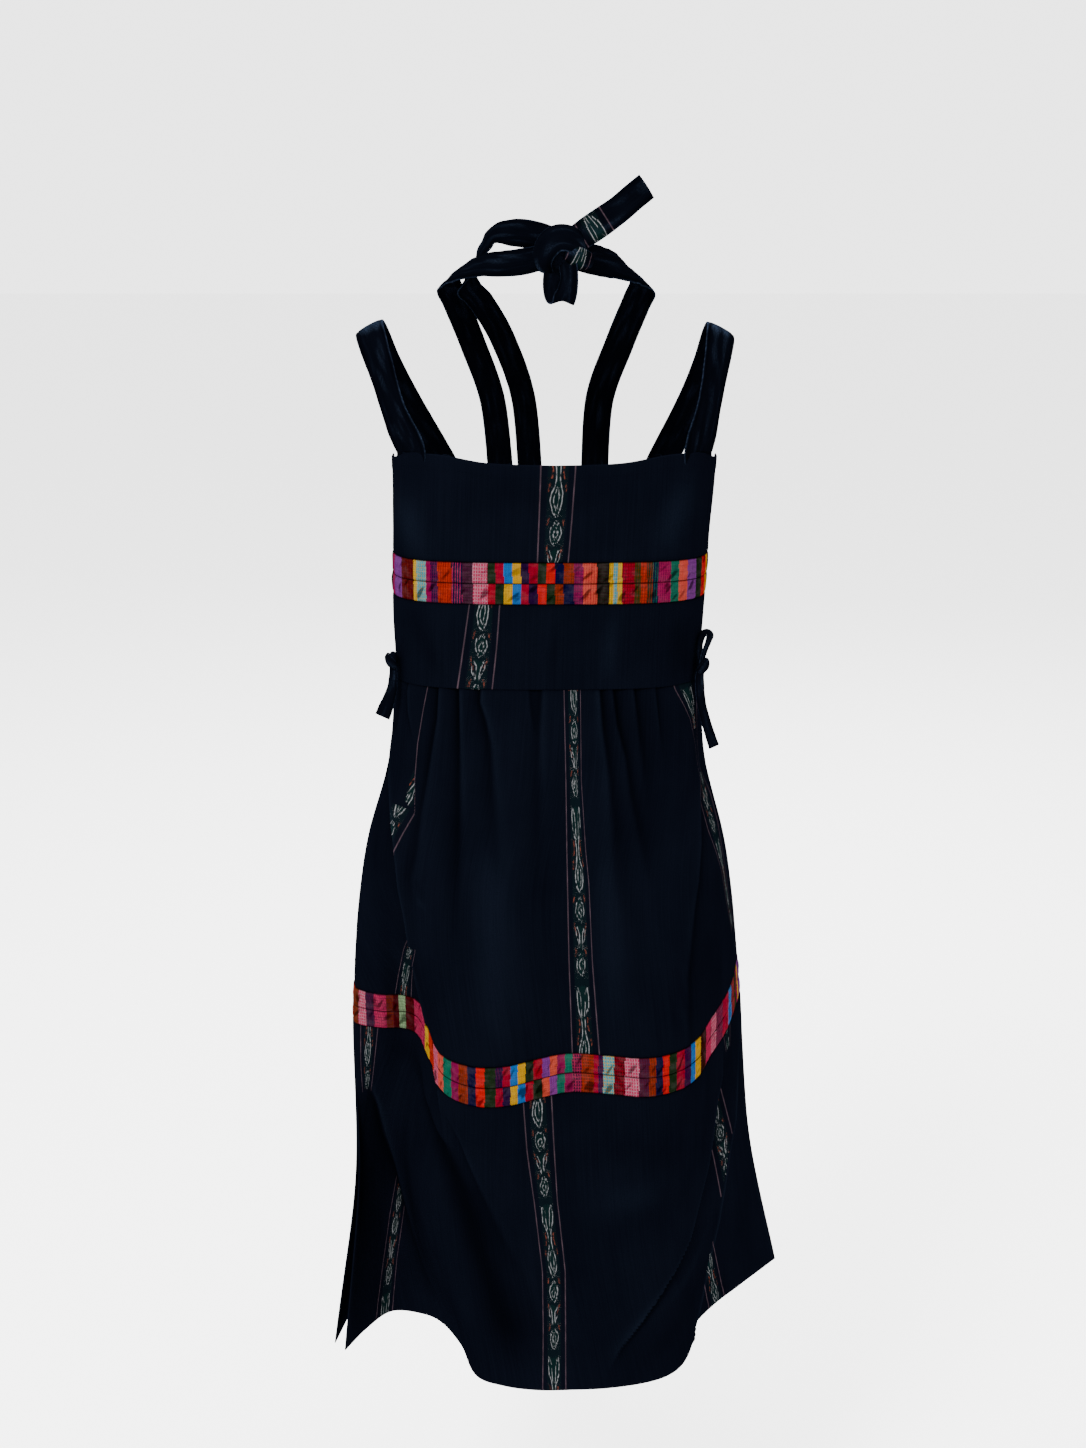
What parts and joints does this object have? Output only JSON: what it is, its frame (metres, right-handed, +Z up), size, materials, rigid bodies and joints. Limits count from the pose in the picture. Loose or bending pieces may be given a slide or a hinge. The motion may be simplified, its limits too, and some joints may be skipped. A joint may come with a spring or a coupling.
{
  "type": "handwoven halter dress",
  "caption": "Worn handwoven dress: banded back yoke, shoulder straps, ties behind the neck and at the waist, and a pleated skirt with a woven colour band.",
  "frame": {"origin": "between the tops of the two shoulder straps, where the wearer's shoulders hold the dress up", "axes": "+Z up, +Y the way the wearer faces, +X to the wearer's right as seen from behind"},
  "size_m": [0.4663, 0.4188, 1.1321],
  "materials": {
    "navy_cloth": "plain weave cotton with tie-dyed warp stripes",
    "navy_tie": "napped plain weave cotton",
    "colour_band": "plain weave cotton in warp stripes of many colours"
  },
  "bodies": {
    "root": {"back_yoke_upper": "navy_cloth", "back_band_upper_row": "colour_band", "back_band_lower_row": "colour_band", "back_yoke_lower": "navy_cloth", "front_bodice": "navy_cloth", "shoulder_strap_left": "navy_tie", "shoulder_strap_right": "navy_tie", "halter_tie_left_outer": "navy_tie", "halter_tie_left_inner": "navy_tie", "halter_tie_right": "navy_tie", "halter_knot": "navy_tie", "halter_tail": "navy_tie", "halter_loop": "navy_tie", "skirt_upper_back": "navy_cloth", "skirt_upper_front": "navy_cloth", "skirt_band_upper_row_back": "colour_band", "skirt_band_upper_row_front": "colour_band", "skirt_band_lower_row_back": "colour_band", "skirt_band_lower_row_front": "colour_band", "skirt_lower_back": "navy_cloth", "skirt_lower_front": "navy_cloth", "side_knot_left": "navy_tie", "side_tail_left": "navy_tie", "side_knot_right": "navy_tie", "side_tail_right": "navy_tie", "side_loop_right": "navy_tie"}
  },
  "joints": []
}
